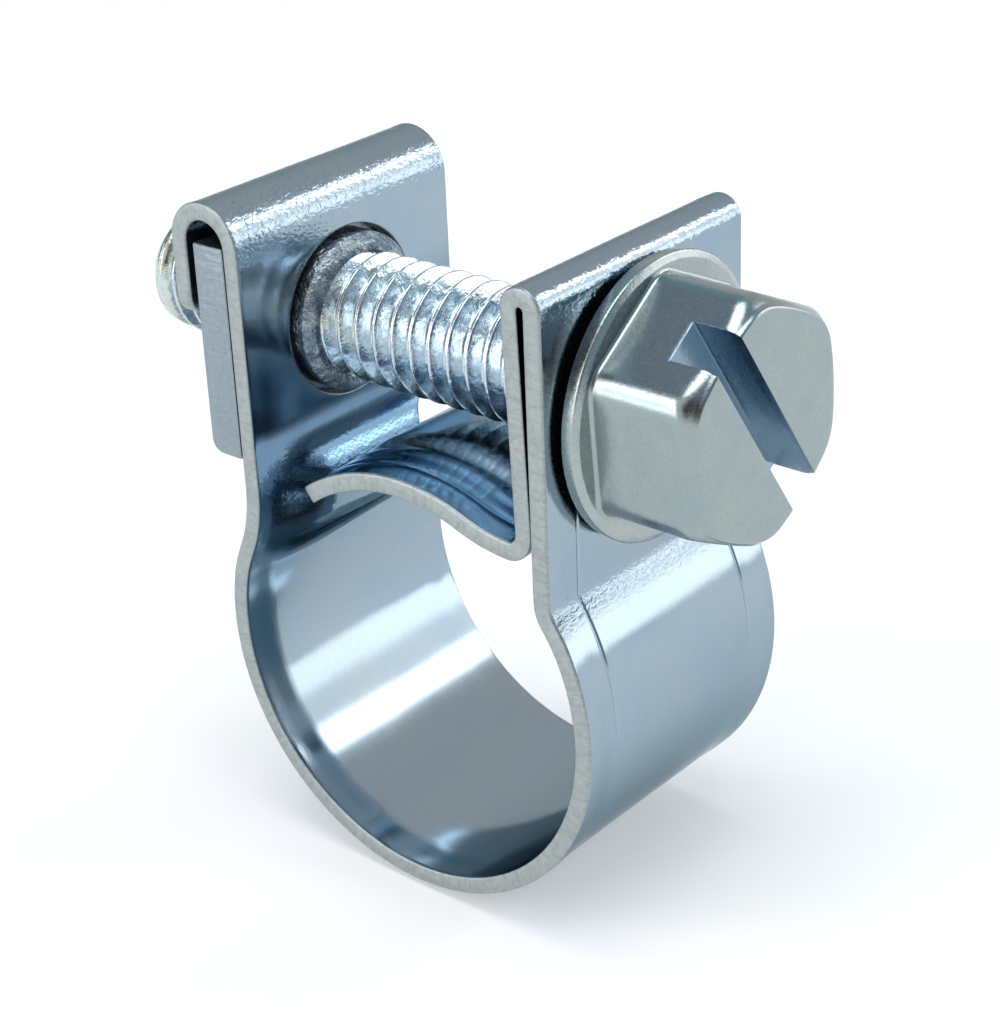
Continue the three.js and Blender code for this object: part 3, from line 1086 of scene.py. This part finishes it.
t = Mat("zinc_flange")
grain = t.noise(7.0, 4.0, 0.7)
cloud = t.noise(1.1, 3.0, 0.6)
col = t.mix(t.ramp(cloud, 0.35, 0.65), (0.40, 0.45, 0.43), (0.34, 0.39, 0.40))
rough = t.ramp(grain, 0.3, 0.7, 0.20, 0.34)
m_flange = t.out(col, rough, t.bump(grain, 0.35, 0.03))
shank.data.materials.append(m_thread)
head.data.materials.append(m_head)
head.data.materials.append(m_slot)
for poly in head.data.polygons:
    if in_slot(poly.center):
        poly.material_index = 1
flange.data.materials.append(m_flange)


# ------------------------------------------------------------------ floor, light
floor_me = bpy.data.meshes.new("floor")
fz = -0.0002
fs = 1.5
floor_me.from_pydata([(-fs, -fs, fz), (fs, -fs, fz), (fs, fs, fz), (-fs, fs, fz)], [], [[0, 1, 2, 3]])
floor = bpy.data.objects.new("floor", floor_me)
bpy.context.scene.collection.objects.link(floor)
fm, fnt, fb = node_tree("floor_paper")
fb.inputs["Base Color"].default_value = (0.74, 0.74, 0.74, 1)
fb.inputs["Roughness"].default_value = 0.9
fb.inputs["Emission Color"].default_value = (1, 1, 1, 1)
fb.inputs["Emission Strength"].default_value = 0.30
floor_me.materials.append(fm)

world = bpy.data.worlds.new("studio")
bpy.context.scene.world = world
world.use_nodes = True
wnt = world.node_tree
wl = wnt.links.new
bg = wnt.nodes["Background"]


def wmath(op, a, b=None, c=None):
    n = wnt.nodes.new("ShaderNodeMath")
    n.operation = op
    for i, v in enumerate((a, b, c)):
        if v is None:
            continue
        if isinstance(v, (int, float)):
            n.inputs[i].default_value = v
        else:
            wl(v, n.inputs[i])
    return n.outputs[0]


def wstep(v, a, b):
    n = wnt.nodes.new("ShaderNodeMapRange")
    n.interpolation_type = "SMOOTHSTEP"
    n.inputs["From Min"].default_value, n.inputs["From Max"].default_value = a, b
    wl(v, n.inputs["Value"])
    return n.outputs[0]


# the studio is a white tent: soft bright bands low on one side and half way up,
# a greyer ceiling, and the same again turned half a turn for the other side
BANDS = [  # degrees up from the horizon, over the top to the far horizon; radiance
    (-180, 0.75), (-90, 0.70), (-3, 1.0), (0, 1.7), (2.5, 2.5), (16, 2.4), (22, 1.55), (37, 1.50), (41, 4.8),
    (51, 4.8), (56, 0.95), (63, 0.64), (90, 0.62), (125, 0.64), (165, 0.62), (180, 0.75),
]
PEAK = 5.0
tc = wnt.nodes.new("ShaderNodeTexCoord")
nrmz = wnt.nodes.new("ShaderNodeVectorMath")
nrmz.operation = "NORMALIZE"
wl(tc.outputs["Generated"], nrmz.inputs[0])
sep = wnt.nodes.new("ShaderNodeSeparateXYZ")
wl(nrmz.outputs[0], sep.inputs[0])
dx, dy, dz = sep.outputs["X"], sep.outputs["Y"], sep.outputs["Z"]


def tent(x):
    ang = wmath("ARCTAN2", dz, x)
    pos01 = wmath("MULTIPLY_ADD", ang, 1 / (2 * math.pi), 0.5)
    r = wnt.nodes.new("ShaderNodeValToRGB")
    wl(pos01, r.inputs[0])
    els = r.color_ramp.elements
    els[0].position, els[1].position = 0.0, 1.0
    for el, e in ((els[0], BANDS[0][1]), (els[1], BANDS[-1][1])):
        el.color = (e / PEAK, e / PEAK, e / PEAK, 1)
    for deg, e in BANDS[1:-1]:
        els.new((deg + 180) / 360).color = (e / PEAK, e / PEAK, e / PEAK, 1)
    r.color_ramp.interpolation = "LINEAR"
    return r.outputs[0]


def wmix(fac, a, b):
    n = wnt.nodes.new("ShaderNodeMix")
    n.data_type = "RGBA"
    for i, v in ((0, fac), (6, a), (7, b)):
        if isinstance(v, tuple):
            n.inputs[i].default_value = v
        else:
            wl(v, n.inputs[i])
    return n.outputs[2]


back_side = tent(dx)
front_side = tent(wmath("MULTIPLY", dx, -1.0))
ceiling = (0.25 / PEAK, 0.31 / PEAK, 0.40 / PEAK, 1)
lift = wnt.nodes.new("ShaderNodeMix")
lift.data_type, lift.blend_type = "RGBA", "MULTIPLY"
lift.inputs[0].default_value = 1.0
wl(front_side, lift.inputs[6])
lift.inputs[7].default_value = (1.35, 1.35, 1.35, 1)
# the bands stop short on one side, and a dim blue-grey shows beyond their ends
back_side = wmix(wstep(dy, 0.525, 0.575), (0.27 / PEAK, 0.45 / PEAK, 0.53 / PEAK, 1), back_side)
wc = wmix(wstep(dy, 0.05, 0.38), ceiling, back_side)
wc = wmix(wstep(wmath("MULTIPLY", dy, -1.0), 0.45, 0.66), wc, lift.outputs[2])
# the dark shape of whoever stands at the table, on one side
dot = wnt.nodes.new("ShaderNodeVectorMath")
dot.operation = "DOT_PRODUCT"
dot.inputs[1].default_value = (0.60, -0.68, 0.42)
wl(nrmz.outputs[0], dot.inputs[0])
wc = wmix(wstep(dot.outputs["Value"], 0.91, 0.965), wc, (0.10 / PEAK, 0.062 / PEAK, 0.045 / PEAK, 1))
wl(wc, bg.inputs["Color"])
bg.inputs["Strength"].default_value = PEAK


def area(name, where, target, size, radiance, colour=(1, 1, 1), size_y=None):
    """A soft box of a given radiance."""
    light = bpy.data.lights.new(name, "AREA")
    light.shape = "RECTANGLE"
    light.size = size
    light.size_y = size_y or size
    light.energy = radiance * math.pi * light.size * light.size_y
    light.color = colour
    o = bpy.data.objects.new(name, light)
    o.location = where
    o.rotation_euler = (Vector(target) - Vector(where)).to_track_quat("-Z", "Y").to_euler()
    bpy.context.scene.collection.objects.link(o)
    return o


centre = Vector((0.0, 0.0, 0.010))
area("key", (0.04, -0.05, 0.42), centre, 0.26, 4.2, (1, 1, 1), 0.26)

# ------------------------------------------------------------------ camera
cam_data = bpy.data.cameras.new("camera")
cam = bpy.data.objects.new("camera", cam_data)
bpy.context.scene.collection.objects.link(cam)
bpy.context.scene.camera = cam
cam_data.sensor_width = 36.0
cam_data.lens = 2332.1968 / 1023.0 * 36.0
cam_data.clip_start, cam_data.clip_end = 0.005, 10.0
pos = Vector((40.7313 + LOOP_X, -46.6418, 34.3227 + LOOP_Z)) * MM
right = Vector((0.76639055, 0.64118008, -0.03916163))
up = Vector((-0.25806911, 0.36314654, 0.89527924))
back = Vector((0.58825663, -0.67602714, 0.44378085))
cam.matrix_world = Matrix(((right.x, up.x, back.x, pos.x), (right.y, up.y, back.y, pos.y), (right.z, up.z, back.z, pos.z), (0, 0, 0, 1)))

bpy.context.scene.view_settings.view_transform = "Standard"
